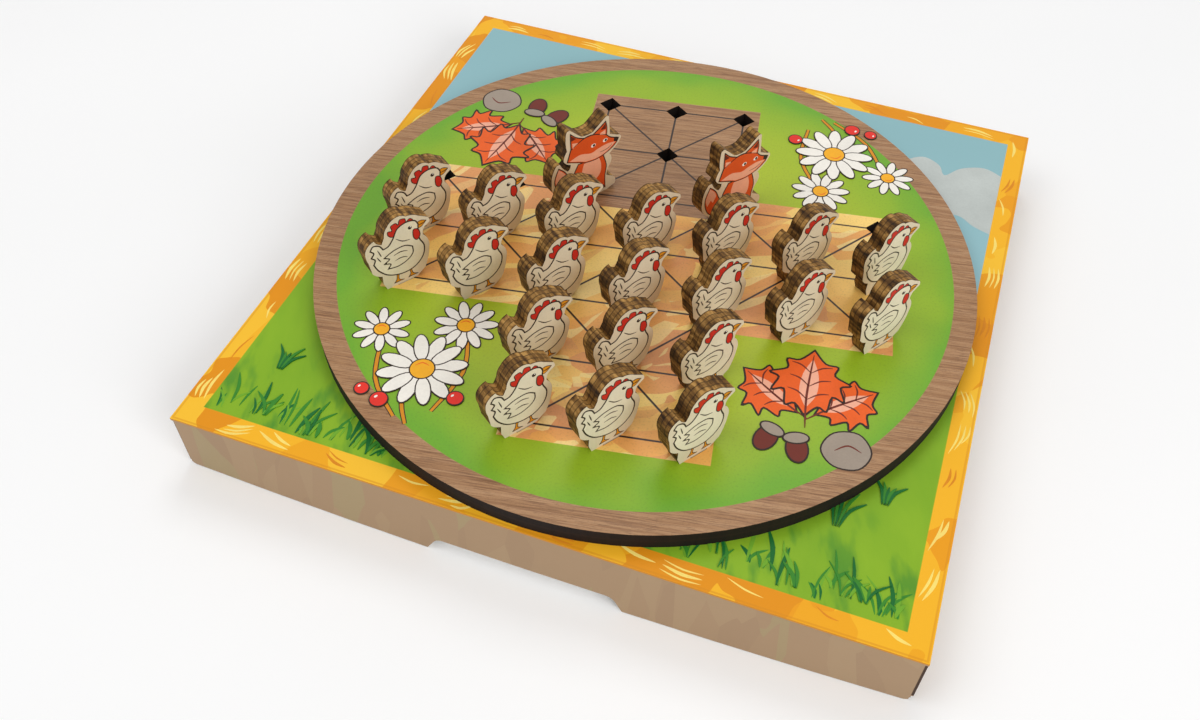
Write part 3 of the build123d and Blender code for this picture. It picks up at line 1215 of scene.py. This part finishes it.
@dataclass(frozen=True)
class Studio:
    """Floor, soft lights and the camera."""

    azimuth: float = 18.145
    elevation: float = 48.795
    roll: float = 1.795
    distance: float = 496.9
    aim: tuple[float, float] = (4.758, -47.545)
    focal_px: float = 1128.877
    centre_px: tuple[float, float] = (628.344, 334.836)
    frame_px: tuple[int, int] = (1200, 720)
    sensor: float = 36.0
    daylight: float = 0.5

    def floor(self) -> None:
        """A wide pale floor under the box."""
        shop = NodeShop("floor")
        tint = shop.noise(shop.place(), 3.0, 2.0)
        colour = shop.ramp(tint, [(0.3, paint(250, 250, 250)), (0.7, paint(253, 253, 253))])
        shell = bmesh.new()
        bmesh.ops.create_grid(shell, x_segments=1, y_segments=1, size=4.0)
        bmesh.ops.translate(shell, verts=shell.verts, vec=(0.0, 0.0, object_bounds()[0][2]))
        data = bpy.data.meshes.new("floor")
        shell.to_mesh(data)
        data.materials.append(shop.surface(colour, 0.9))
        into_scene("floor", data)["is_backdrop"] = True

    def lamp(self, name: str, spot: Sequence[float], size: float, power: float) -> None:
        """A square soft light that looks at the board.

        Args:
            name: Its name.
            spot: Where it hangs, in metres.
            size: Its side, in metres.
            power: Its power, in watts.
        """
        data = bpy.data.lights.new(name, "AREA")
        data.shape = "SQUARE"
        data.size = size
        data.energy = power
        light = into_scene(name, data)
        light.location = spot
        light.rotation_euler = Vector(spot).to_track_quat("Z", "Y").to_euler()

    def world(self) -> None:
        """An even grey world that the camera and shiny surfaces see as white."""
        world = bpy.data.worlds.new("studio")
        bpy.context.scene.world = world
        world.use_nodes = True
        desk = NodeDesk(world.node_tree)
        path = desk.node("LightPath")
        seen = desk.wire(path, "Is Camera Ray")
        for ray in ("Is Glossy Ray", "Is Transmission Ray"):
            seen = seen.either(desk.wire(path, ray))
        strength = seen * (1 - self.daylight) + self.daylight
        back = desk.node("Background", None, {"Color": (1.0, 1.0, 1.0, 1.0), "Strength": strength})
        desk.node("OutputWorld", None, {0: desk.wire(back)})

    def camera(self) -> None:
        """The camera, at the photograph's place and angle."""
        az, el, roll = (math.radians(a) for a in (self.azimuth, self.elevation, self.roll))
        back = Vector((math.sin(az) * math.cos(el), -math.cos(az) * math.cos(el), math.sin(el)))
        across = (-back).cross(Vector((0, 0, 1))).normalized()
        up = back.cross(across)
        turned = across * math.cos(roll) + up * math.sin(roll)
        upward = up * math.cos(roll) - across * math.sin(roll)
        target = Vector((self.aim[0], self.aim[1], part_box("box_lid")[1].z / MM))
        data = bpy.data.cameras.new("camera")
        data.sensor_width = self.sensor
        data.lens = self.focal_px * self.sensor / self.frame_px[0]
        data.shift_x = (self.frame_px[0] / 2 - self.centre_px[0]) / self.frame_px[0]
        data.shift_y = (self.centre_px[1] - self.frame_px[1] / 2) / self.frame_px[0]
        data.clip_start = 0.01
        eye = into_scene("camera", data)
        eye.matrix_world = Matrix([
            (*row, (middle + row[2] * self.distance) * MM)
            for row, middle in zip(zip(turned, upward, back), target)] + [(0, 0, 0, 1)])
        bpy.context.scene.camera = eye

    def build(self) -> None:
        """Sets up the whole studio."""
        bpy.context.scene.view_settings.view_transform = "Standard"
        self.floor()
        self.lamp("key_light", (1.65, -1.08, 1.22), 1.25, 21.5)
        self.lamp("left_light", (-0.7, -0.5, 1.4), 1.0, 5.5)
        self.lamp("back_light", (-0.2, 0.95, 1.6), 0.8, 6.0)
        self.world()
        self.camera()


def dress(node: str, material: Material, nodes: dict) -> None:
    """Puts one material on a node of the frame.

    Args:
        node: The node's name.
        material: Its material.
        nodes: The frame's nodes.
    """
    data = nodes[node].data
    data.materials.clear()
    data.materials.append(material)


def main() -> None:
    """Builds the scene in order."""
    logging.basicConfig(level=logging.INFO, format="%(name)s %(message)s")
    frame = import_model()
    nodes = frame["nodes"]
    grid, rack, lid = Grid(), InkRack(), LidFinish()
    dress("board", BoardFinish(grid).build(), nodes)
    dress("box_lid", lid.build(), nodes)
    dress("box_tray", CartonFinish().build(), nodes)
    for ply, drawing, places in (
            (PlyFinish("hen_plywood", grid, (222, 208, 182)), HenPrint(rack), grid.hens()),
            (PlyFinish("fox_plywood", grid, (224, 208, 180)), FoxPrint(rack), grid.foxes())):
        wood = ply.build()
        for name, column, row in places:
            dress(name, wood, nodes)
            front = grid.stand(column, row, ply.thickness)
            drawing.draw(name + "_print").finish(front, name + "_piece", ply.name)
    BoardMotifs(rack, grid).build()
    LidPrint(rack, lid.half, lid.border).build()
    Studio().build()


if __name__ == "__main__":
    main()
